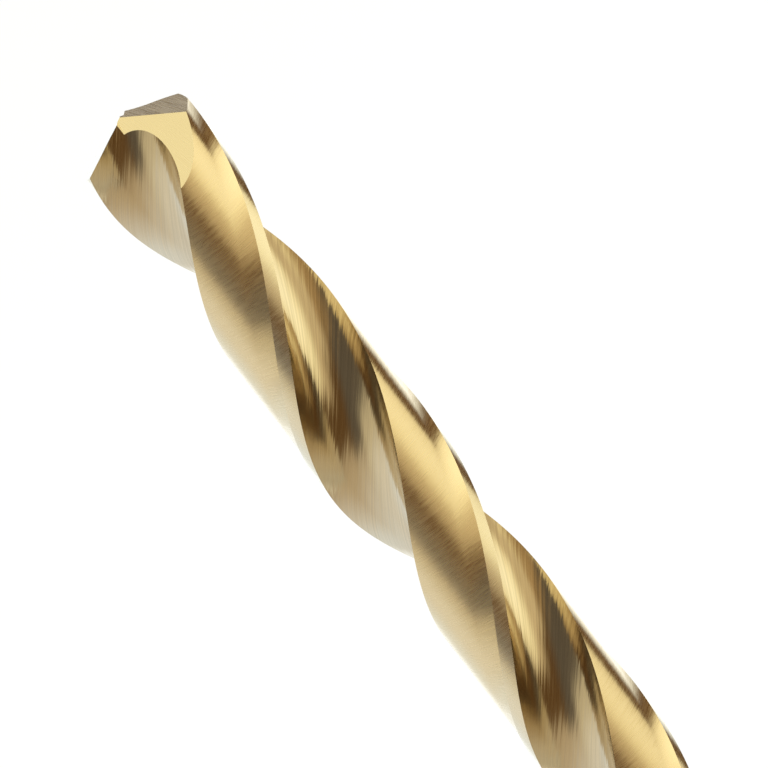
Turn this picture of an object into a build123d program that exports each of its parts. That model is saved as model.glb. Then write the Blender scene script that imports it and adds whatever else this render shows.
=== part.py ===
from build123d import *
from math import acos, atan2, ceil, cos, degrees, pi, radians, sin, sqrt, tan
import os

# Twist drill bit: a round high-speed-steel bar with two right-hand helical
# flutes, ground lands and a split point.  It is one piece of steel, so it is
# one solid.  It stands on its shank end, point upwards, with the origin at
# the centre of the shank's end face.  Sizes are in millimetres and degrees.

# ---- bar ------------------------------------------------------------------
diameter = 10.0          # over the margins, and of the plain shank
overall_length = 133.0   # shank end to the chisel edge
flute_length = 87.0      # point to the end of the flute run-out
shank_chamfer = 0.6      # broken corner at the shank end

# ---- flutes and lands, seen in a cut square to the axis ---------------------
helix_angle = 27.9       # right-hand, measured at the margins
web_thickness = 1.90     # solid core between the two flutes, at the point
web_growth = 0.016       # core gained for each millimetre towards the shank
floor_radius = 3.78      # flute floor, from the rake side round the web
floor_turn = 77.8        # angle of that arc, before the flute wall takes over
land_angle = 81.0        # leading edge to heel, about the axis
margin_width = 1.2       # guiding strip behind each leading edge, along the arc
clearance_depth = 0.3    # how far the land behind the margin is ground down
runout_length = 14.0     # part of the flute length over which it gets shallow

# ---- point ------------------------------------------------------------------
point_angle = 135.0      # between the two lips
lip_relief = 14.6        # flank falls away behind the lip, square to it
lip_turn = 7.7           # lip line against the radius at its outer corner
notch_turn = 65.7        # way the notch floor falls, round from the lip corner
notch_tilt = 53.1        # notch floor against a plane square to the axis
notch_rise = 0.15        # notch floor above the chisel edge, on the axis
notch_wall = 0.25        # notch wall to the axis

# ---- sizes that follow --------------------------------------------------------
radius = diameter / 2
web_radius = web_thickness / 2
land_radius = radius - clearance_depth
lead = pi * diameter / tan(radians(helix_angle))
margin_angle = degrees(margin_width / radius)
flat_angle = degrees(acos(land_radius / radius))
flat_width = sqrt(radius**2 - land_radius**2)
outside = 1.5 * radius

lip_slope = 1 / tan(radians(point_angle / 2))
relief_slope = tan(radians(lip_relief))
corner_drop = radius * (
    lip_slope * cos(radians(lip_turn)) - relief_slope * sin(radians(lip_turn))
)
corner_height = overall_length - corner_drop

flute_full = overall_length - flute_length + runout_length
flute_top = overall_length + web_thickness
full_depth = radius - web_radius - web_growth * (flute_length - runout_length) / 2
wheel_radius = (runout_length**2 + full_depth**2) / (2 * full_depth)
runout_steps = 7
land_ramp = sqrt(wheel_radius**2 - (wheel_radius - clearance_depth) ** 2)
ramp_steps = 4
largest_twist = 24       # between two neighbouring cross-sections
fluted_steps = ceil(360 * (flute_top - flute_full) / lead / largest_twist)


def turned_plane(height):
    """Plane square to the axis, turned as far as the flutes have turned there."""
    turn = 360 * (height - corner_height) / lead
    return Plane.XY.offset(height).rotated((0, 0, turn))


def lift(drop):
    """How far the round wheel has lifted, at a distance below the full depth."""
    return wheel_radius - sqrt(wheel_radius**2 - drop**2)


def floor_shift(height):
    """How far the floor's centre stands off, so that its arc meets the web there."""
    core = web_radius + web_growth * (overall_length - height) / 2
    return sqrt((floor_radius + core) ** 2 - floor_radius**2)


def polar(distance, angle):
    """Point in the plane of a cut at a distance and an angle from the axis."""
    return (distance * cos(radians(angle)), distance * sin(radians(angle)))


# The flute's outline: a straight rake side that reaches the first lip's outer
# corner, a floor arc that touches the web circle, and a tangent arc up to the
# heel, where it meets the ground-down land of the other side.  Towards the
# shank it moves out along its rake side, so the web and the lands grow.
heel_point = Vector(*polar(land_radius, -land_angle))
floor_centre = Vector(-floor_shift(corner_height), -floor_radius)
floor_end = floor_centre + Vector(*polar(floor_radius, 90 - floor_turn))
wall_chord = heel_point - floor_end
wall_turn = 2 * (degrees(atan2(wall_chord.Y, wall_chord.X)) + floor_turn)
wall_radius = wall_chord.length / 2 / abs(sin(radians(wall_turn / 2)))
wall_beyond = wall_turn * radius / 2 / wall_chord.length
mouth_angle = degrees(atan2(floor_centre.Y, floor_centre.X))


def flute_outline(height, rise):
    """Closed flute cross-section at a height, moved out from the axis by a rise."""
    move = Vector(*polar(rise, mouth_angle))
    floor_start = Vector(-floor_shift(height), 0) + move
    rake_start = Vector(-outside, move.Y)
    with BuildLine() as outline:
        Line(rake_start, floor_start)
        floor = JernArc(floor_start, (1, 0), floor_radius, -floor_turn)
        wall = JernArc(floor @ 1, floor % 1, wall_radius, wall_turn + wall_beyond)
        mouth = Vector(*polar(outside * 1.3, mouth_angle)) + move
        ThreePointArc(wall @ 1, mouth, rake_start)
    return outline.line


def land_outline(shift):
    """Closed cross-section of what is ground off the land behind the margin.

    The ground-down land is round as far as the foot of a flat, which leaves it
    at a tangent and rises to the back corner of the margin.
    """
    low = land_radius + shift
    high = radius + 1.0 + shift
    behind = -land_angle - 20
    foot = -margin_angle - flat_angle
    middle = (behind + foot) / 2
    corner = Vector(*polar(low, foot)) + Vector(*polar(flat_width, foot + 90))
    with BuildLine() as outline:
        ThreePointArc(polar(low, behind), polar(low, middle), polar(low, foot))
        Line(polar(low, foot), corner)
        Line(corner, polar(high, -margin_angle))
        ThreePointArc(
            polar(high, -margin_angle), polar(high, middle), polar(high, behind)
        )
        Line(polar(high, behind), polar(low, behind))
    return outline.line


def ground_away(outline, side):
    """Flat face inside an outline, turned round the axis to one side of the bit."""
    return make_face(outline.edges(), mode=Mode.PRIVATE).rotate(Axis.Z, side)


# Fluted length: the bar's cross-section between the flutes and behind the
# margins, carried up the axis in small turns along the helix.
with BuildPart() as fluted_length:
    for step in range(fluted_steps + 1):
        height = flute_full + (flute_top - flute_full) * step / fluted_steps
        with BuildSketch(turned_plane(height)):
            Circle(radius)
            for side in (0, 180):
                add(ground_away(flute_outline(height, 0), side), mode=Mode.SUBTRACT)
                add(ground_away(land_outline(0), side), mode=Mode.SUBTRACT)
    loft()

# Run-outs: the same outlines go on turning while the wheel lifts out.
with BuildPart() as flute_runout:
    for step in range(runout_steps + 1):
        drop = runout_length * step / runout_steps
        with BuildSketch(turned_plane(flute_full - drop)):
            add(ground_away(flute_outline(flute_full - drop, lift(drop)), 0))
    loft()

with BuildPart() as land_runout:
    for step in range(ramp_steps + 1):
        drop = land_ramp * step / ramp_steps
        with BuildSketch(turned_plane(flute_full - drop)):
            add(ground_away(land_outline(lift(drop)), 0))
    loft()

# Notch of the split point: a wall beside the chisel edge and a sloping floor.
# Both are planes; what lies above the floor and beyond the wall is taken away.
flank_fall = Vector(lip_slope, -relief_slope).rotate(Axis.Z, -lip_turn)
floor_fall = Vector(*polar(1, 180 + notch_turn))
floor_lean = Vector(0, 0, cos(radians(notch_tilt))) + floor_fall * sin(radians(notch_tilt))
floor_plane = Plane(origin=(0, 0, overall_length + notch_rise), z_dir=floor_lean)
wall_way = flank_fall.normalized()
wall_plane = Plane(
    origin=Vector(0, 0, overall_length) - wall_way * notch_wall,
    x_dir=(0, 0, 1),
    z_dir=wall_way,
)
with BuildPart() as notch:
    with BuildSketch(wall_plane):
        Rectangle(4 * diameter, 4 * diameter)
    extrude(amount=2 * diameter)
    split(bisect_by=floor_plane, keep=Keep.TOP)

# The bit: the plain shank with the run-outs ground into its upper part, the
# fluted length above it, and the point ground on the end.
with BuildPart() as drill_bit:
    with BuildSketch():
        Circle(radius)
    extrude(amount=flute_full)
    shank_end = drill_bit.faces().sort_by(Axis.Z)[0]
    chamfer(shank_end.edges(), shank_chamfer)
    with PolarLocations(0, 2):
        add(flute_runout.part, mode=Mode.SUBTRACT)
    with PolarLocations(0, 2):
        add(land_runout.part, mode=Mode.SUBTRACT)
    add(fluted_length.part)
    for side in (0, 180):
        flank_lean = Vector(flank_fall.X, flank_fall.Y, 1).rotate(Axis.Z, side)
        with BuildSketch(Plane(origin=(0, 0, overall_length), z_dir=flank_lean)):
            Rectangle(4 * diameter, 4 * diameter)
        extrude(amount=2 * diameter, mode=Mode.SUBTRACT)
    with PolarLocations(0, 2):
        add(notch.part, mode=Mode.SUBTRACT)

drill_bit.part.label = "drill_bit"
os.makedirs("parts", exist_ok=True)
export_step(drill_bit.part, "parts/drill_bit.step")

print("lead", round(lead, 3), "helix turns", round(flute_length / lead, 3))
print("corner height", round(corner_height, 3), "full depth from", round(flute_full, 3))
print("volume", round(drill_bit.part.volume, 2), "valid", drill_bit.part.is_valid)
print("solids", len(drill_bit.solids()), "faces", len(drill_bit.faces()))
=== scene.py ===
"""Twist drill bit with a split point, ground from high-speed steel and coated pale gold."""

from math import acos, atan2, cos, pi, radians, sin, sqrt, tan

import bpy
import numpy as np
from mathutils import Matrix, Vector


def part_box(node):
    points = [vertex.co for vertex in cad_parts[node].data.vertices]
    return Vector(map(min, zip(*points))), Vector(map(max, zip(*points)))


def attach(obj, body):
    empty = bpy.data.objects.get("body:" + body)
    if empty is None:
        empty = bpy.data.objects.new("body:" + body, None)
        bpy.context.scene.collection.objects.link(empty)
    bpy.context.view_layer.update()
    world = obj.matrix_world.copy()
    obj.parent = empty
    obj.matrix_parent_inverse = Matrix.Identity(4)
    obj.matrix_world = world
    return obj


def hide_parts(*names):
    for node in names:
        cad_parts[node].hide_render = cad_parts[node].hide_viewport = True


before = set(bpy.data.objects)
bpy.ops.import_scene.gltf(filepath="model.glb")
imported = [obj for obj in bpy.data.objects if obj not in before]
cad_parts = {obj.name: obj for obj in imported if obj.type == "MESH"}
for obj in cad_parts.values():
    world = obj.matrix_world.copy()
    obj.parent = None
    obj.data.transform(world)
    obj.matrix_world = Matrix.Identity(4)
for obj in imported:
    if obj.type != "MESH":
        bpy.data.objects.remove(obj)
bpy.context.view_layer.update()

bl_info = {
    "name": "Twist drill bit",
    "version": (1, 0, 0),
    "blender": (4, 5, 0),
    "location": "3D View > Sidebar > Drill",
    "description": "Grinds a two-flute twist drill bit with a split point and sets its studio",
    "category": "Add Mesh",
}

MM = 0.001
TIP_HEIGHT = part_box("drill_bit")[1][2]
HALVINGS = 50                      # steps of every search by halving, enough for the last digit


def halve(low, high, past):
    """Where past(x) turns true between low and high: the interval is halved again and again, and each half
    that holds the change is kept. Numbers and whole arrays both work."""
    for _ in range(HALVINGS):
        middle = (low + high) / 2
        beyond = past(middle)
        low, high = np.where(beyond, low, middle), np.where(beyond, middle, high)
    return (low + high) / 2


# ---------------------------------------------------------------- colours and nodes

def srgb(code):
    """Linear red, green, blue of an sRGB hex colour: each channel over 255, with the sRGB curve undone."""
    parts = np.array([int(code[i:i + 2], 16) for i in (1, 3, 5)]) / 255
    return tuple(np.where(parts <= 0.04045, parts / 12.92, ((parts + 0.055) / 1.055) ** 2.4))


def add_node(tree, kind, inputs=None, **settings):
    """Adds one node. Settings are its properties, and inputs maps a socket's name or number to a value or
    link."""
    node = tree.nodes.new(kind)
    for name, value in settings.items():
        setattr(node, name, value)
    for name, value in (inputs or {}).items():
        if isinstance(value, bpy.types.NodeSocket):
            tree.links.new(value, node.inputs[name])
        else:
            node.inputs[name].default_value = value
    return node


# ---------------------------------------------------------------- settings

def length_setting(name, millimetres, description):
    """Setting for a length, kept in metres."""
    return bpy.props.FloatProperty(
        name=name, description=description, default=millimetres * MM, unit="LENGTH", precision=5)


def angle_setting(name, degrees, description):
    """Setting for an angle, kept in radians."""
    return bpy.props.FloatProperty(
        name=name, description=description, default=radians(degrees), unit="ROTATION")


def colour_setting(name, code, description):
    """Setting for a colour, kept as linear red, green and blue."""
    return bpy.props.FloatVectorProperty(
        name=name, description=description, default=srgb(code), min=0, max=1, subtype="COLOR")


class DrillSizes(bpy.types.PropertyGroup):
    """Sizes of the ground bit, as a tool grinder's drawing gives them."""
    diameter: length_setting("Diameter", 10.0, "Across the margins")
    overall_length: length_setting("Overall length", 133.0, "Shank end to chisel edge")
    flute_length: length_setting("Flute length", 87.0, "Chisel edge to the end of the flute run-out")
    runout_length: length_setting("Run-out length", 14.0, "Length over which the flutes rise out of the bar")
    shank_chamfer: length_setting("Shank chamfer", 0.6, "Bevel round the shank's end")
    helix_angle: angle_setting("Helix angle", 27.9, "Slope of the margins at the full diameter")
    web_thickness: length_setting("Web thickness", 1.90, "Core between the flutes at the point")
    web_growth: bpy.props.FloatProperty(
        name="Web growth", description="Core gained per length towards the shank", default=0.016)
    floor_radius: length_setting("Floor radius", 3.78, "Radius of the flute's floor")
    floor_turn: angle_setting("Floor turn", 77.8, "How far the floor's arc turns before the heel wall")
    land_angle: angle_setting("Land angle", 81.0, "Leading edge to heel of one land")
    margin_width: length_setting("Margin width", 1.2, "Full-diameter strip behind the leading edge")
    clearance_depth: length_setting("Clearance depth", 0.3, "Land ground below the margin")
    point_angle: angle_setting("Point angle", 135.0, "Between the two cutting lips")
    lip_relief: angle_setting("Lip relief", 14.6, "Fall of each flank behind its lip")
    lip_turn: angle_setting("Lip turn", 7.7, "Flank turned ahead of the leading edge")
    notch_turn: angle_setting("Notch turn", 65.7, "Direction in which the split's floor falls")
    notch_tilt: angle_setting("Notch tilt", 53.1, "Slope of the split's floor")
    notch_rise: length_setting("Notch rise", 0.15, "Height of the split's floor over the point, on the axis")
    notch_wall: length_setting("Notch wall", 0.25, "Distance of the split's wall from the axis")
    wheel_angle: angle_setting("Wheel angle", 38.0, "Lean of the flute-grinding wheel, which lays its lines")


class CoatingColours(bpy.types.PropertyGroup):
    """Colour of the nitride coating on each ground surface. The flute's is darker, partly for its rougher
    grind and partly as painted shade of the hollow flute.
    """
    # darker than the lands: partly the rougher wheel grind, partly painted shade of the flute's hollow
    flute: colour_setting("Flute", "#e3d5b8", "Coating in the flutes")
    land: colour_setting("Land", "#f9e7c0", "Coating on the cleared lands")
    margin: colour_setting("Margin", "#faefd4", "Coating on the margins")
    point: colour_setting("Point", "#fbf3dc", "Coating on the point's facets")
    shank: colour_setting("Shank", "#e6d7b8", "Coating on the shank")


class StudioSettings(bpy.types.PropertyGroup):
    """Camera of the studio."""
    azimuth: angle_setting("Azimuth", -22.0458, "Camera round the bit, from the front")
    elevation: angle_setting("Elevation", 18.7436, "Camera above the bit")
    roll: angle_setting("Lean", 37.4197, "How far the bit leans in the frame")
    distance: length_setting("Distance", 549.999, "Camera to the tip, along the view")
    lens: bpy.props.FloatProperty(name="Lens", description="Focal length in millimetres", default=339.13)
    right: length_setting("Aim right", 20.0925, "Frame centre right of the tip")
    down: length_setting("Aim down", 20.3055, "Frame centre below the tip")


# ---------------------------------------------------------------- the ground form

TABLE_ROWS = 4001                  # heights in the table of the flute's edges
LAY_STEPS = 800                    # steps across a flute when a grinding line is added up
BELOW_TIP, PAST_TIP = 9.0, 4.0     # millimetres below and above the chisel edge that hold the point's planes
HEEL_REACH = 1.6                   # wall radii along the heel wall, well past the land


class DrillForm:
    """The bit's surface as formulas in millimetres. A point is named by (u, z): z is the height, and u runs
    once round half the section: 0 to 1 across a flute from cutting edge to heel, 1 to 2 across the land, 2
    to 3 up the flat, and 3 to 4 across the margin to the other cutting edge. The other half is the same,
    turned 180 degrees."""

    def __init__(self, sizes):
        for name, setting in DrillSizes.__annotations__.items():
            scale = MM if setting.keywords.get("unit") == "LENGTH" else 1
            setattr(self, name, getattr(sizes, name) / scale)
        self.radius = self.diameter / 2
        self.web_radius = self.web_thickness / 2
        self.land_radius = self.radius - self.clearance_depth
        self.lead = pi * self.diameter / tan(self.helix_angle)
        self.margin_angle = self.margin_width / self.radius
        self.flat_angle = acos(self.land_radius / self.radius)
        self.foot_angle = -self.margin_angle - self.flat_angle
        self.lip_slope = 1 / tan(self.point_angle / 2)
        self.relief_slope = tan(self.lip_relief)
        self.corner_height = self.overall_length - self.radius * (
            self.lip_slope * cos(self.lip_turn) - self.relief_slope * sin(self.lip_turn))
        self.flute_full = self.overall_length - self.flute_length + self.runout_length
        depth = self.radius - self.web_radius - self.web_growth * (self.flute_length - self.runout_length) / 2
        self.wheel_radius = (self.runout_length ** 2 + depth ** 2) / (2 * depth)
        self.land_ramp = sqrt(self.wheel_radius ** 2 - (self.wheel_radius - self.clearance_depth) ** 2)
        shift = float(self.floor_shift(self.corner_height))
        self.mouth = atan2(-self.floor_radius, -shift)
        floor_end = np.array([-shift + self.floor_radius * sin(self.floor_turn),
                              -self.floor_radius + self.floor_radius * cos(self.floor_turn)])
        chord = self.land_radius * np.array([cos(self.land_angle), -sin(self.land_angle)]) - floor_end
        turn = 2 * (atan2(chord[1], chord[0]) + self.floor_turn)
        self.wall_radius = float(np.hypot(*chord)) / 2 / abs(sin(turn / 2))
        self.rake_length = self.radius
        self.floor_length = self.floor_radius * self.floor_turn
        # the point's planes: height = overall_length + a x + b y + c
        c, s = cos(self.lip_turn), sin(self.lip_turn)
        rise = np.array([self.lip_slope * c - self.relief_slope * s,
                         -self.lip_slope * s - self.relief_slope * c])
        steep = tan(self.notch_tilt)
        self.near_flank = np.array([-rise[0], -rise[1], 0.0])
        self.far_flank = np.array([rise[0], rise[1], 0.0])
        self.notch = np.array([
            steep * cos(self.notch_turn), steep * sin(self.notch_turn), self.notch_rise])
        self.wall_way = rise / np.hypot(*rise)
        self.flute_end = halve(self.flute_full - self.runout_length, self.flute_full,
                               lambda z: self.deepest(z)[1] <= self.radius)
        self.table = self.edge_table()
        self.lay = self.grinding_lay()

    def floor_shift(self, z):
        """Sideways shift of the floor's centre that leaves the growing core: the square root of
        (floor radius + core)^2 - floor radius^2."""
        core = self.web_radius + self.web_growth * (self.overall_length - z) / 2
        return np.sqrt((self.floor_radius + core) ** 2 - self.floor_radius ** 2)

    def lift(self, z, length):
        """Rise of a grinding wheel that leaves the bar on a circle: wheel radius less the circle's height
        at the distance gone past the full section."""
        gone = np.clip(self.flute_full - z, 0, length)
        return self.wheel_radius - np.sqrt(self.wheel_radius ** 2 - gone ** 2)

    def land_at(self, z):
        """Radius of the land: ground back by the clearance, and rising to the bar in the run-out."""
        return self.land_radius + self.lift(z, self.land_ramp)

    def flute_line(self, d, z):
        """Point of the flute's outline at arc length d: a straight rake line, the floor's arc turning
        right, and the heel wall's tighter arc turning on."""
        along = np.minimum(d, self.rake_length) - self.rake_length
        t = np.clip((d - self.rake_length) / self.floor_radius, 0, self.floor_turn)
        w = np.maximum(d - self.rake_length - self.floor_length, 0) / self.wall_radius
        h = self.floor_turn
        x = along + self.floor_radius * np.sin(t) + self.wall_radius * (np.sin(h + w) - sin(h))
        y = -self.floor_radius * (1 - np.cos(t)) - self.wall_radius * (cos(h) - np.cos(h + w))
        rise = self.lift(z, self.runout_length)
        return x - self.floor_shift(z) + rise * cos(self.mouth), y + rise * sin(self.mouth)

    def deepest(self, z):
        """Arc length of the outline's point nearest the axis, and that point's distance from the axis."""
        rise = self.lift(z, self.runout_length)
        x = -self.floor_shift(z) + rise * cos(self.mouth)
        y = -self.floor_radius + rise * sin(self.mouth)
        turned = pi / 2 - np.arctan2(-y, -x)
        return self.rake_length + self.floor_radius * turned, np.hypot(x, y) - self.floor_radius

    def edge_table(self):
        """Both edges of the flute and their azimuths over the height, close together where the flute runs
        out: the heights are the end plus the flute's length times the square of even steps."""
        part = np.linspace(0, 1, TABLE_ROWS)
        z = self.flute_end + (self.overall_length + PAST_TIP - self.flute_end) * part ** 2
        start, stop = self.edge(z, False), self.edge(z, True)
        lip = np.arctan2(*self.flute_line(start, z)[::-1]) % (2 * pi) - pi
        heel = np.arctan2(*self.flute_line(stop, z)[::-1])
        return z, np.stack([start, stop, lip, heel])

    def edges(self, z):
        """Arc lengths of the flute's edges and the azimuths of lip and heel at each height, from the
        table."""
        heights, values = self.table
        return [np.interp(z, heights, row) for row in values]

    def edge(self, z, heel):
        """Arc length at which the outline leaves the bar, on the cutting side or at the heel."""
        deep, _ = self.deepest(z)
        past_heel = self.rake_length + self.floor_length + HEEL_REACH * self.wall_radius
        outer = np.full_like(deep, past_heel if heel else 0)
        limit = self.land_at(z) if heel else self.radius
        return halve(deep, outer, lambda d: np.hypot(*self.flute_line(d, z)) >= limit)

    def point(self, u, z):
        """x and y of (u, z), and the distance across its own strip: the plain section turned with the
        height, one turn in each lead."""
        u, z = np.broadcast_arrays(np.asarray(u, float), np.asarray(z, float))
        start, stop, lip, heel = self.edges(z)
        part = np.clip(u, 0, 1)
        fx, fy = self.flute_line(start + (stop - start) * part, z)
        land = self.land_at(z)
        # the flat leaves the land at a tangent and ends on the bar, at the back corner of the margin
        foot, flat = self.foot_angle, np.sqrt(np.maximum(self.radius ** 2 - land ** 2, 0))
        top = foot + np.arctan2(flat, land)
        k = [np.clip(u - n, 0, 1) for n in (1, 2, 3)]
        angle = np.where(u <= 3, heel + (foot - heel) * k[0], top + (lip - top) * k[2])
        size = np.where(u <= 3, land, self.radius)
        across = flat * k[1] * (u <= 3)
        x = np.where(u <= 1, fx, size * np.cos(angle) - across * np.sin(angle))
        y = np.where(u <= 1, fy, size * np.sin(angle) + across * np.cos(angle))
        turn = 2 * pi * (z - self.corner_height) / self.lead
        c, s = np.cos(turn), np.sin(turn)
        return x * c - y * s, x * s + y * c

    def grinding_lay(self):
        """Height of one grinding line over u, on a flute. The wheel's axis stands square to the flute's
        middle and leans by the wheel angle, and each line runs square to that axis and to the surface, so
        its rise for each step of u is the share of the helix line in it over the share of the section in
        it, added up."""
        u = np.linspace(0, 1, LAY_STEPS + 1)
        z, step = self.corner_height, 1e-4                     # millimetres, for the slope along the helix
        here = np.stack([*self.point(u, z), np.full_like(u, z)], -1)
        above = np.stack([*self.point(u, z + step), np.full_like(u, z + step)], -1)
        by_u, by_z = np.gradient(here, u, axis=0), (above - here) / step
        normal = np.cross(by_u, by_z)
        out = np.array([cos(self.mouth), sin(self.mouth), 0])
        side = np.array([-sin(self.mouth), cos(self.mouth), 0])
        feed = side * sin(self.wheel_angle) + np.array([0, 0, cos(self.wheel_angle)])
        line = np.cross(np.cross(out, feed), normal)
        rise = (np.cross(by_u, line) * normal).sum(1) / (np.cross(line, by_z) * normal).sum(1)
        total = np.concatenate([[0], np.cumsum((rise[1:] + rise[:-1]) / 2 * np.diff(u))])
        return u, total

    def plane_height(self, plane, x, y):
        """Height of one of the point's planes over (x, y)."""
        return self.overall_length + plane[0] * x + plane[1] * y + plane[2]

    def reach(self, plane, u):
        """Height at which a line meets a plane of the point. The line's u is constant, or a function of
        height."""
        u_at = u if callable(u) else lambda z: u
        low = np.full(np.shape(u_at(self.overall_length)), self.overall_length - BELOW_TIP)
        return halve(low, low + BELOW_TIP + PAST_TIP,
                     lambda z: z > self.plane_height(plane, *self.point(u_at(z), z)))


# ---------------------------------------------------------------- the mesh

FLUTE, LAND, MARGIN, FACET, SHANK = range(5)      # surfaces, in the order of the bit's finishes
SHANK_ROWS = 6                     # rows of points up to the flutes' end, two of them on the chamfer
RUNOUT_ROWS, FLUTE_ROWS, POINT_ROWS, LIP_ROWS = 60, 220, 32, 8
RUNOUT_CROWDING = 1.3              # power that draws the run-out's rows together at its thin end
POINT_ZONE = 8.0                   # millimetres below the chisel edge in which the rows bend to the point
STRIP_COLUMNS = (30, 34, 20, 8, 8, 8)             # columns in each strip of the half section
WALL_BETWEEN, CREASE_BETWEEN = (0.42, 0.56), (1.3, 1.8)    # u on each side of the split's corner and crease
LEAN_REACH = (-0.12, 0.08)         # how far the split's wall leans from its corner, in u
SHUT_WIDTH = 1e-6                  # millimetres; a narrower flat counts as closed


class Skin:
    """The bit's faces as they are added, with the surface each belongs to and the unrolled place of each
    corner."""

    def __init__(self):
        self.faces, self.places, self.surfaces = [], [], []

    def add(self, rings, places, surface):
        """Adds faces of one size, as arrays of vertex numbers and of their places."""
        self.faces.extend(rings.tolist())
        self.places.extend(places.reshape(-1, 2).tolist())
        self.surfaces.extend([surface] * len(rings))

    def add_grid(self, ids, places, surface):
        """Adds the quads of a grid of vertex numbers. A quad with a closed side becomes a triangle, and one
        with two is left out."""
        def corners(grid):
            """The four corners of every quad, in order round it."""
            return np.stack([grid[:-1, :-1], grid[:-1, 1:], grid[1:, 1:], grid[1:, :-1]], 2)

        rings = corners(ids).reshape(-1, 4)
        spots = corners(places).reshape(-1, 4, 2)
        fresh = rings != np.roll(rings, 1, 1)                  # corners that differ from the one before
        whole, cut = fresh.sum(1) == 4, fresh.sum(1) == 3
        self.add(rings[whole], spots[whole], surface)
        self.add(rings[cut][fresh[cut]].reshape(-1, 3), spots[cut][fresh[cut]].reshape(-1, 3, 2), surface)


def column_strips(form):
    """The u values of the columns in each strip of the half section. The strips meet at the bit's own
    edges: the corner of the split's floor and wall on the flute, the heel, the crease of floor and flank on
    the land, and the foot and top of the flat."""
    def past_wall(u):
        """The point where u meets the split's floor lies on the axis's side of the wall, by its part along the
        wall's way."""
        x, y = form.point(u, form.reach(form.notch, u))
        return form.wall_way[0] * x + form.wall_way[1] * y >= -form.notch_wall

    def past_crease(u):
        """Where u meets the flank, the split's floor is as high or higher."""
        z = form.reach(form.near_flank, u)
        return form.plane_height(form.notch, *form.point(u, z)) >= z

    u_wall, u_crease = float(halve(*WALL_BETWEEN, past_wall)), float(halve(*CREASE_BETWEEN, past_crease))
    edges = [0, u_wall, 1, u_crease, 2, 3, 4]
    return [np.linspace(first, last, columns + 1)
            for first, last, columns in zip(edges, edges[1:], STRIP_COLUMNS)]


def unroll(form, u, z, surface):
    """Millimetres across the grinding lines, and along them. On a flute the first is the height less the
    line's own rise, and elsewhere the height; the second is the distance round the section."""
    if surface == FLUTE:
        start, stop, _, _ = form.edges(z)
        return np.stack([z - np.interp(u, *form.lay), u * (stop - start)], -1)
    part = [np.clip(u - n, 0, 1) for n in (1, 2, 3)]
    angle = -form.land_angle + (form.foot_angle + form.land_angle) * part[0] \
        + form.flat_angle * part[1] + form.margin_angle * part[2]
    turn = 2 * pi * (z - form.corner_height) / form.lead
    return np.stack([z, form.radius * (angle + turn)], -1)


def lip_patch(form, lip_u, lip_low):
    """Grid of u and z over the triangle of flute between the lip and the split's wall, from lip_low up to
    the lip. The columns lean to the wall by the square of their place between the web and it, so that the
    last one follows the wall."""
    u_wall, wall_foot = lip_u[-1], lip_low[-1]

    def past_wall(u, z):
        """The point (u, z) lies on the axis's side of the split's wall."""
        x, y = form.point(u, z)
        return form.wall_way[0] * x + form.wall_way[1] * y >= -form.notch_wall

    def leaned(z):
        """The columns' u at height z, each moved by its square times the wall's own move."""
        at_wall = halve(np.full(np.shape(z), u_wall + LEAN_REACH[0]), u_wall + LEAN_REACH[1],
                        lambda u: past_wall(u, np.maximum(z, wall_foot)))
        return lip_u + (lip_u / u_wall) ** 2 * (at_wall - u_wall)

    lip_top = form.reach(form.far_flank, leaned)
    z = lip_low + (lip_top - lip_low) * np.linspace(0, 1, LIP_ROWS + 1)[1:, None]
    return leaned(z), z


def wall_corners(form):
    """The upper corners of the split's wall: the chisel edge's end, where the notch's floor is as high as
    the tip along the wall's way, and the wall's start, where its line meets both the notch's floor and the
    far flank."""
    across = np.array([-form.wall_way[1], form.wall_way[0]])
    floor = form.notch[:2]
    steep = floor - form.far_flank[:2]
    chisel_end = -form.notch_rise / (floor @ across) * across
    start = -form.notch_wall * form.wall_way
    start = start - across * (steep @ start + form.notch_rise) / (steep @ across)
    return [(*chisel_end, form.overall_length), (*start, form.plane_height(form.far_flank, *start))]


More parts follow.
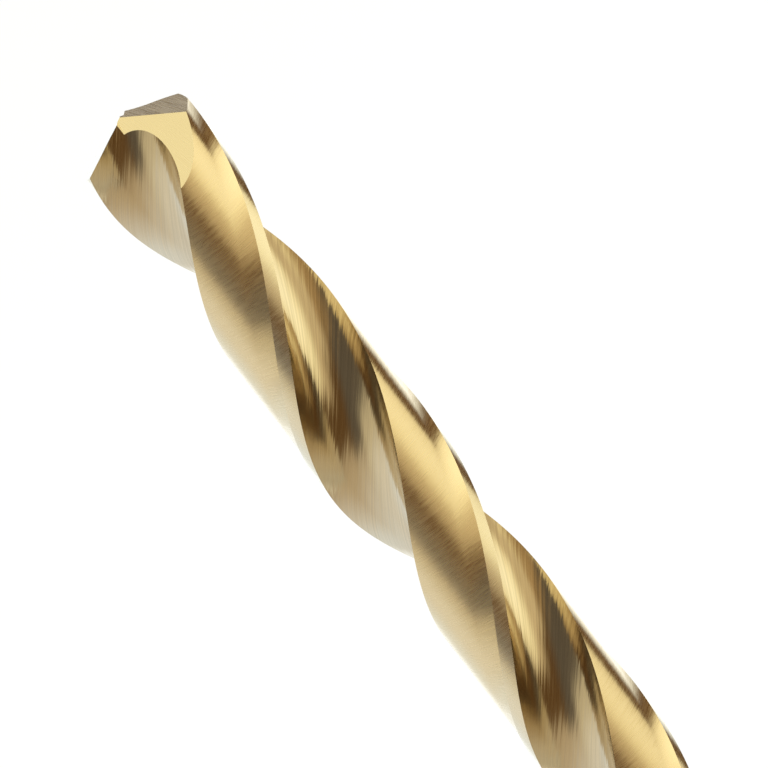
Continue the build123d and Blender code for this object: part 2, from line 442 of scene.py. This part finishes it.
def bit_mesh(form):
    """Vertices, faces, sharp edges, surfaces and unrolled coordinates of the whole bit.

    Rows of points run round the section and columns run up the helix. Every column ends where its helix
    line meets a plane of the point, so the point's flat facets close the grid exactly."""
    strips = column_strips(form)
    surfaces = (FLUTE, FLUTE, LAND, LAND, LAND, MARGIN)
    planes = (form.far_flank, form.notch, form.notch, form.near_flank, form.near_flank, form.near_flank)
    u = np.concatenate([strip[:-1] for strip in strips])
    count = len(u)
    starts = np.cumsum([0] + [len(strip) - 1 for strip in strips])
    wall, heel, crease, foot, corner = starts[1:-1]            # first column of each strip after the lip's

    # where every column ends; the lip's own triangle comes above the columns between web and wall
    ends = np.concatenate([form.reach(plane, u[first:last])
                           for first, last, plane in zip(starts[:-1], starts[1:], planes)])
    ends[:wall] = ends[0] + (ends[wall] - ends[0]) * u[:wall] / u[wall]

    base = form.overall_length - POINT_ZONE
    thin = np.linspace(0, 1, RUNOUT_ROWS + 1)[1:] ** RUNOUT_CROWDING
    low_rows = np.concatenate([form.flute_end + (form.flute_full - form.flute_end) * thin,
                               np.linspace(form.flute_full, base, FLUTE_ROWS + 1)[1:]])
    steps = np.linspace(0, 1, POINT_ROWS + 1)[1:, None]
    z = np.concatenate([np.broadcast_to(low_rows[:, None], (len(low_rows), count)),
                        base + (ends - base) * steps])
    x, y = form.point(u, z)

    # shank: the lines of the last row go straight down
    x0, y0 = form.point(u, np.full(count, form.flute_end))
    rim = np.stack([x0, y0]) / np.hypot(x0, y0)
    shank_z = np.array([0, *np.linspace(form.shank_chamfer, form.flute_end, SHANK_ROWS - 1)])
    shank_r = np.array([form.radius - form.shank_chamfer] + [form.radius] * (SHANK_ROWS - 1))
    z = np.concatenate([np.broadcast_to(shank_z[:, None], (SHANK_ROWS, count)), z])
    x = np.concatenate([shank_r[:, None] * rim[0], x])
    y = np.concatenate([shank_r[:, None] * rim[1], y])

    # both halves, and one vertex for each place where columns run together: the flute below its end, and the
    # flat up to where it opens, since the land starts at the bit's full radius
    points = np.stack([np.concatenate([x, -x], 1), np.concatenate([y, -y], 1),
                       np.concatenate([z, z], 1)], -1)
    index = np.arange(2 * z.size).reshape(len(z), 2 * count)
    shut = int((np.hypot(x[:, corner] - x[:, foot], y[:, corner] - y[:, foot]) < SHUT_WIDTH).sum())
    for half in (0, count):
        index[:SHANK_ROWS, half + 1:half + heel + 1] = index[:SHANK_ROWS, half, None]
        index[:shut, half + foot + 1:half + corner + 1] = index[:shut, half + foot, None]
    index = np.concatenate([index, index[:, :1]], 1)

    skin = Skin()
    heights = np.concatenate([z, z[:, :1]], 1)
    azimuth = np.unwrap(np.arctan2(np.append(y0, -y0[0]), np.append(x0, -x0[0])))
    for half in (0, count):
        for strip, surface, first, last in zip(strips, surfaces, starts[:-1], starts[1:]):
            ids, high = index[:, half + first:half + last + 1], heights[:, first:last + 1]
            ground = unroll(form, *np.broadcast_arrays(strip, high[SHANK_ROWS - 1:]), surface)
            skin.add_grid(ids[SHANK_ROWS - 1:], ground, surface)
            around, low = np.broadcast_arrays(form.radius * azimuth[first:last + 1], high[:SHANK_ROWS])
            skin.add_grid(ids[:SHANK_ROWS], np.stack([low, around], -1), SHANK)

    # the triangle of flute below each lip
    lip_low = ends[:wall + 1]
    lip_u, lip_z = lip_patch(form, strips[0], lip_low)
    lx, ly = form.point(lip_u, lip_z)
    extra, lip_ids, corner_ids = [], [], []
    for half, sign in ((0, 1), (count, -1)):
        below = index[-1, half:half + wall + 1]
        ids = points.size // 3 + len(extra) + np.arange(lip_z.size).reshape(lip_z.shape)
        extra.extend(np.stack([sign * lx, sign * ly, lip_z], -1).reshape(-1, 3).tolist())
        ids[:, 0] = below[0]
        ids = np.concatenate([below[None], ids])
        grid_u, grid_z = np.concatenate([strips[0][None], lip_u]), np.concatenate([lip_low[None], lip_z])
        skin.add_grid(ids, unroll(form, grid_u, grid_z, FLUTE), FLUTE)
        lip_ids.append(ids)
        corner_ids.append([points.size // 3 + len(extra) + n for n in (0, 1)])
        extra.extend([sign * px, sign * py, pz] for px, py, pz in wall_corners(form))
    places = np.concatenate([points.reshape(-1, 3), np.array(extra)])

    # flat faces: flank, notch floor and notch wall on each side, and the shank's end
    top = index[-1]
    flat_faces = []
    for half in (0, 1):
        mine, other = half * count, (1 - half) * count
        chisel, start = corner_ids[half]
        lip, land = lip_ids[half][-1], top[other + crease:other + count]
        flat_faces.append([start, chisel, corner_ids[1 - half][0], *land, *lip])
        flat_faces.append([chisel, start, *top[mine + wall:mine + crease + 1]])
        flat_faces.append([start, *lip_ids[half][::-1, -1]])
    flat_faces.append(list(dict.fromkeys(index[0].tolist()))[::-1])
    flat_faces = [np.array(face) for face in flat_faces]
    for face, surface in zip(flat_faces, [FACET] * 6 + [SHANK]):
        skin.add(face[None], places[face][None, :, :2], surface)

    # lines that are edges of the real bit: lips and heels, margin corners, rims and the point's facets
    lines = [index[SHANK_ROWS - 1:, half + column] for half in (0, count) for column in (0, heel)]
    lines += [index[shut - 1:, half + corner] for half in (0, count)]
    lines += [index[0], index[1], top] + [ids[-1] for ids in lip_ids] + [ids[:, -1] for ids in lip_ids]
    lines += [np.append(face, face[0]) for face in flat_faces]
    sharp = np.concatenate([np.stack([line[:-1], line[1:]], -1) for line in lines])
    return places, skin.faces, sharp, np.array(skin.surfaces), np.array(skin.places)


def compact(places, faces, sharp):
    """Drops the vertices that no face uses, and renumbers the rest."""
    used = np.zeros(len(places), bool)
    used[np.concatenate([np.array(f) for f in faces])] = True
    number = np.cumsum(used) - 1
    return places[used], [number[f].tolist() for f in faces], number[sharp[used[sharp].all(1)]]


def make_bit(form):
    """Puts the worked-out surface into one Blender object."""
    places, faces, sharp, kind, uv = bit_mesh(form)
    places, faces, sharp = compact(places, faces, sharp)
    mesh = bpy.data.meshes.new("ground_drill_bit")
    mesh.from_pydata((places * MM).tolist(), [], faces)
    mesh.polygons.foreach_set("material_index", kind.astype(np.int32))
    layer = mesh.uv_layers.new(name="unrolled")
    layer.uv.foreach_set("vector", uv.ravel().astype(np.float32))
    mesh.shade_smooth()
    ends = np.empty(len(mesh.edges) * 2, np.int32)
    mesh.edges.foreach_get("vertices", ends)
    ends = np.sort(ends.reshape(-1, 2), 1).astype(np.int64)
    wanted = np.sort(sharp, 1).astype(np.int64)
    size = len(places)
    flags = np.isin(ends[:, 0] * size + ends[:, 1], wanted[:, 0] * size + wanted[:, 1])
    mesh.attributes.new("sharp_edge", "BOOLEAN", "EDGE").data.foreach_set("value", flags)
    mesh.update()
    mesh.validate()
    bit = bpy.data.objects.new("ground_drill_bit", mesh)
    bpy.context.scene.collection.objects.link(bit)
    return bit


# ---------------------------------------------------------------- materials

# material, roughness, stretch of its reflections, then its grinding lines' pitch and run in millimetres
# and their tilt
FINISHES = {
    # the wheel's marks run down the flute and comb each reflection into bright and dark streaks
    "flute": ("coated_steel_wheel_ground", 0.15, 0.50, 0.22, 14.0, 0.09),
    # satin, with reflections drawn out along the bit, so that light fades softly into dark
    "land": ("coated_steel_satin_ground", 0.28, 0.87, 0.16, 2.0, 0.035),
    # like the land and a little brighter, which shows the margin as a pale strip
    "margin": ("coated_steel_cylinder_ground", 0.26, 0.84, 0.16, 2.0, 0.03),
    # flat facets that each take one even tone
    "point": ("coated_steel_point_ground", 0.26, 0.0, 0.20, 3.0, 0.02),
    # faint rings round the shank
    "shank": ("coated_steel_shank_ground", 0.26, 0.50, 0.20, 6.0, 0.04),
}
TINT_CLOUDS = 350.0                # clouds of tint in a metre, so each is about 3 mm across
TINT_DEPTH = 0.93                  # how dark the darkest tint is


def coated_steel(colour, name, roughness, stretch, pitch, run, tilt):
    """High-speed steel, ground and vapour-coated with a pale gold nitride a few thousandths thick. The
    coating is bright metal and keeps every grinding line: lines lie pitch millimetres apart and last run
    millimetres. Each tilts the surface by about tilt and dulls it by up to as much, so reflections break
    into fine combs where light meets dark. Stretch draws every reflection out across the lines."""
    material = bpy.data.materials.new(name)
    material.use_nodes = True
    tree = material.node_tree
    tree.nodes.clear()
    place = add_node(tree, "ShaderNodeUVMap", uv_map="unrolled").outputs[0]
    # real grit marks are 0.05 mm or finer; these are drawn 0.2 to 0.3 mm apart so that they show
    spread = add_node(tree, "ShaderNodeMapping", {"Vector": place, "Scale": (1 / pitch, 1 / run, 1)})
    lines = add_node(tree, "ShaderNodeTexNoise", {
        "Vector": spread.outputs[0], "Scale": 1.0, "Detail": 2.0, "Roughness": 0.6}, noise_dimensions="2D")
    # the lines' colour less a half, times the tilt, is added to the upright normal
    centred = add_node(tree, "ShaderNodeVectorMath", {
        0: lines.outputs["Color"], 1: (0.5, 0.5, 0.5)}, operation="SUBTRACT")
    slope = add_node(tree, "ShaderNodeVectorMath", {
        0: centred.outputs[0], 1: (tilt, tilt, 0.0)}, operation="MULTIPLY")
    upright = add_node(tree, "ShaderNodeVectorMath", {
        0: slope.outputs[0], 1: (0.5, 0.5, 1.0)}, operation="ADD")
    normal = add_node(tree, "ShaderNodeNormalMap", {"Color": upright.outputs[0]}, uv_map="unrolled")
    dull = add_node(tree, "ShaderNodeMapRange", {
        "Value": lines.outputs["Fac"], "From Min": 0.3, "From Max": 0.7,
        "To Min": roughness * 0.85, "To Max": roughness * 1.2})
    # the coating's tint wanders a little from place to place
    middle = add_node(tree, "ShaderNodeTexCoord").outputs["Object"]
    cloud = add_node(tree, "ShaderNodeTexNoise", {"Vector": middle, "Scale": TINT_CLOUDS, "Detail": 3.0})
    tint = add_node(tree, "ShaderNodeMix", {
        0: cloud.outputs["Fac"], 6: (*colour, 1), 7: (*[TINT_DEPTH * c for c in colour], 1)},
        data_type="RGBA")
    worn = add_node(tree, "ShaderNodeMapRange", {
        "Value": lines.outputs["Fac"], "From Min": 0.35, "From Max": 0.65,
        "To Min": 1 - tilt, "To Max": 1 + tilt / 2})
    tone = add_node(tree, "ShaderNodeVectorMath", {
        0: tint.outputs[2], "Scale": worn.outputs[0]}, operation="SCALE")
    across = add_node(tree, "ShaderNodeTangent", direction_type="UV_MAP", uv_map="unrolled").outputs[0]
    shader = add_node(tree, "ShaderNodeBsdfPrincipled", {
        "Base Color": tone.outputs[0], "Metallic": 1.0, "Roughness": dull.outputs[0],
        "Normal": normal.outputs[0], "Anisotropic": stretch, "Tangent": across})
    add_node(tree, "ShaderNodeOutputMaterial", {0: shader.outputs[0]})
    return material


def studio_paper():
    """Matt white paper, which gives an even pale floor with a soft shadow."""
    material = bpy.data.materials.new("studio_paper")
    material.use_nodes = True
    tree = material.node_tree
    tree.nodes.clear()
    shader = add_node(tree, "ShaderNodeBsdfPrincipled", {
        "Base Color": (*srgb("#f4f4f2"), 1), "Roughness": 0.9})
    add_node(tree, "ShaderNodeOutputMaterial", {0: shader.outputs[0]})
    return material


# ---------------------------------------------------------------- studio

# the studio's own directions: towards the viewer, to the right, and up
FRONT, SIDE, ABOVE = (-0.617, -0.782, -0.084), (0.682, -0.479, -0.553), (0.392, -0.399, 0.829)
LAT, LON = 0, 1
ROOM = (0.12, 0.098, 0.072)        # light from wherever no area below reaches
STUDIO_LIGHT = (
    # (linear colour, (axis, dark at, lit at) ...), each laid over the ones before, with angles in degrees
    ((0.13, 0.068, 0.022), ((LON, -8, 20),)),                                          # room to the right
    ((0.62, 0.52, 0.36), ((LAT, -24, -34),)),                                          # table, far edge
    ((0.66, 0.58, 0.40), ((LAT, -9, -22), (LON, -95, -74), (LON, -10, -36))),          # its glow, left
    ((0.57, 0.46, 0.30), ((LAT, -18, -29), (LON, 4, 22), (LON, 112, 90))),             # its glow, right
    ((0.84, 0.80, 0.69), ((LAT, -26, -42), (LON, -15, -62))),                          # table, left
    ((0.86, 0.94, 1.02), ((LAT, -23, -35), (LON, -70, -121))),
    ((0.81, 0.81, 0.80), ((LAT, -28, -76),)),
    ((0.88, 0.95, 1.04), ((LAT, -63, -87),)),                                          # table, under the bit
    ((0.14, 0.08, 0.04), ((LAT, -55, -39), (LAT, -6, -18), (LON, 52, 83), (LON, 130, 115))),
    ((0.43, 0.28, 0.12), ((LAT, 14, 34),)),                                            # ceiling
    ((1.15, 1.02, 0.60), ((LAT, 34, 58),)),
    ((0.66, 0.52, 0.30), ((LON, 18, 46), (LON, 122, 116), (LAT, -5, 7))),              # soft box, right
    ((0.72, 0.58, 0.34), ((LON, 2, 26), (LON, 122, 116), (LAT, 10, 24))),
    ((1.16, 1.05, 0.66), ((LON, 38, 72), (LON, 126, 117), (LAT, -3, 15))),
    ((1.36, 1.30, 0.96), ((LON, 50, 94), (LON, 130, 117), (LAT, 6, 30))),
    ((0.90, 0.93, 0.90), ((LON, 138, 152), (LAT, 12, -4))),                            # backdrop
    ((1.35, 1.40, 1.45), ((LON, 150, 165), (LAT, 16, 4))),
    ((1.15, 1.25, 1.40), ((LON, -134, -155), (LAT, 16, 4))),
)


def soft_studio():
    """Soft light all round: a bright table below, a large lit ceiling above and a dim band of room between
    them, with the darker viewer in the middle of it. Latitude is the angle above the studio's horizon, and
    longitude the angle to the right of the viewer; each area is a product of smooth steps in them."""
    world = bpy.data.worlds.new("studio")
    world.use_nodes = True
    tree = world.node_tree
    tree.nodes.clear()
    way = add_node(tree, "ShaderNodeTexCoord").outputs["Generated"]
    front, side, above = [
        add_node(tree, "ShaderNodeVectorMath", {0: way, 1: axis}, operation="DOT_PRODUCT").outputs["Value"]
        for axis in (FRONT, SIDE, ABOVE)]
    angles = {}
    for axis, turn, ways in ((LAT, "ARCSINE", {0: above}), (LON, "ARCTAN2", {0: side, 1: front})):
        turned = add_node(tree, "ShaderNodeMath", ways, operation=turn).outputs[0]
        angles[axis] = add_node(
            tree, "ShaderNodeMath", {0: turned, 1: 180 / pi}, operation="MULTIPLY").outputs[0]
    light = add_node(tree, "ShaderNodeRGB").outputs[0]
    light.default_value = (*ROOM, 1)
    for colour, edges in STUDIO_LIGHT:
        amount = None
        for axis, dark, lit in edges:
            step = add_node(tree, "ShaderNodeMapRange", {
                "Value": angles[axis], "From Min": dark, "From Max": lit},
                interpolation_type="SMOOTHSTEP").outputs[0]
            amount = step if amount is None else add_node(
                tree, "ShaderNodeMath", {0: amount, 1: step}, operation="MULTIPLY").outputs[0]
        light = add_node(tree, "ShaderNodeMix", {
            0: amount, 6: light, 7: (*colour, 1)}, data_type="RGBA").outputs[2]
    # the bit mirrors the studio; the floor and the backdrop see plain white
    mirrored = add_node(tree, "ShaderNodeLightPath").outputs["Is Glossy Ray"]
    seen = add_node(tree, "ShaderNodeMix", {
        0: mirrored, 6: (1, 1, 1, 1), 7: light}, data_type="RGBA").outputs[2]
    glow = add_node(tree, "ShaderNodeBackground", {"Color": seen, "Strength": 1.0})
    add_node(tree, "ShaderNodeOutputWorld", {0: glow.outputs[0]})
    return world


FLOOR_REACH = 8.0                  # metres from the bit to each side of the floor
LAMP_PLACE, LAMP_TURN = (-0.3, -0.5, 2.2), (-0.22, -0.13, 0)
LAMP_WIDTH, LAMP_POWER = 1.6, 12.0
SENSOR_WIDTH = 36.0                # millimetres, a full-frame camera
NEAREST, FARTHEST = 0.01, 50.0     # metres that the camera sees


def studio_floor():
    """A flat square round the bit's foot."""
    side = FLOOR_REACH
    mesh = bpy.data.meshes.new("floor")
    corners = [(-side, -side, 0), (side, -side, 0), (side, side, 0), (-side, side, 0)]
    mesh.from_pydata(corners, [], [(0, 1, 2, 3)])
    mesh.materials.append(studio_paper())
    floor = bpy.data.objects.new("floor", mesh)
    floor.visible_glossy = False
    return floor


def overhead_lamp():
    """A wide disc of light above, which lays the soft shadow and isn't mirrored in the bit."""
    light = bpy.data.lights.new("overhead", "AREA")
    light.shape, light.size, light.energy = "DISK", LAMP_WIDTH, LAMP_POWER
    lamp = bpy.data.objects.new("overhead", light)
    lamp.location, lamp.rotation_euler = LAMP_PLACE, LAMP_TURN
    lamp.visible_glossy = False
    lamp.visible_camera = False
    return lamp


def studio_camera(studio):
    """Camera whose axes are the frame's right, its up and back towards the viewer. The view's level and
    steep directions are turned by the lean, and the camera stands off the tip by the aim and the
    distance."""
    level = Vector((cos(studio.azimuth), sin(studio.azimuth), 0))
    flat = cos(studio.elevation)
    ahead = Vector((-sin(studio.azimuth) * flat, cos(studio.azimuth) * flat, -sin(studio.elevation)))
    steep = level.cross(ahead)
    right = cos(studio.roll) * level - sin(studio.roll) * steep
    up = sin(studio.roll) * level + cos(studio.roll) * steep
    place = Vector((0, 0, TIP_HEIGHT)) + studio.right * right - studio.down * up - studio.distance * ahead
    lens = bpy.data.cameras.new("camera")
    lens.lens, lens.sensor_width = studio.lens, SENSOR_WIDTH
    lens.clip_start, lens.clip_end = NEAREST, FARTHEST
    camera = bpy.data.objects.new("camera", lens)
    camera.matrix_world = Matrix((
        (right.x, up.x, -ahead.x, place.x), (right.y, up.y, -ahead.y, place.y),
        (right.z, up.z, -ahead.z, place.z), (0, 0, 0, 1)))
    return camera


# ---------------------------------------------------------------- operators

class DRILL_OT_bit(bpy.types.Operator):
    """Grinds the bit: flutes, lands, margins, split point and shank, with its coating"""
    bl_idname = "drill.bit"
    bl_label = "Drill bit"

    def execute(self, context):
        bit = make_bit(DrillForm(context.scene.drill_sizes))
        for surface, finish in FINISHES.items():
            bit.data.materials.append(coated_steel(getattr(context.scene.drill_colours, surface), *finish))
        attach(bit, "root")
        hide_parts("drill_bit")
        return {"FINISHED"}


class DRILL_OT_stage(bpy.types.Operator):
    """Sets the floor, the camera and the soft light"""
    bl_idname = "drill.stage"
    bl_label = "Studio"

    def execute(self, context):
        scene = context.scene
        floor, lamp, camera = studio_floor(), overhead_lamp(), studio_camera(scene.drill_studio)
        for item in (floor, lamp, camera):
            scene.collection.objects.link(item)
        scene.camera = camera
        scene.world = soft_studio()
        scene.view_settings.view_transform = "Standard"
        return {"FINISHED"}


class DRILL_PT_panel(bpy.types.Panel):
    """Lists the bit's sizes and the steps that make it"""
    bl_label = "Twist drill bit"
    bl_idname = "DRILL_PT_panel"
    bl_space_type = "VIEW_3D"
    bl_region_type = "UI"
    bl_category = "Drill"

    def draw(self, context):
        for group in (context.scene.drill_sizes, context.scene.drill_colours, context.scene.drill_studio):
            for name in type(group).__annotations__:
                self.layout.prop(group, name)
        for step in STEPS:
            self.layout.operator(step)


STEPS = ("drill.bit", "drill.stage")
CLASSES = (DrillSizes, CoatingColours, StudioSettings, DRILL_OT_bit, DRILL_OT_stage, DRILL_PT_panel)


def register():
    """Registers the classes and adds their settings to the scene."""
    for cls in CLASSES:
        bpy.utils.register_class(cls)
    bpy.types.Scene.drill_sizes = bpy.props.PointerProperty(type=DrillSizes)
    bpy.types.Scene.drill_colours = bpy.props.PointerProperty(type=CoatingColours)
    bpy.types.Scene.drill_studio = bpy.props.PointerProperty(type=StudioSettings)


def unregister():
    """Takes the settings and the classes away again."""
    del bpy.types.Scene.drill_sizes, bpy.types.Scene.drill_colours, bpy.types.Scene.drill_studio
    for cls in reversed(CLASSES):
        bpy.utils.unregister_class(cls)


def main():
    """Makes the bit and its studio."""
    register()
    bpy.ops.drill.bit()
    bpy.ops.drill.stage()


if __name__ == "__main__":
    main()
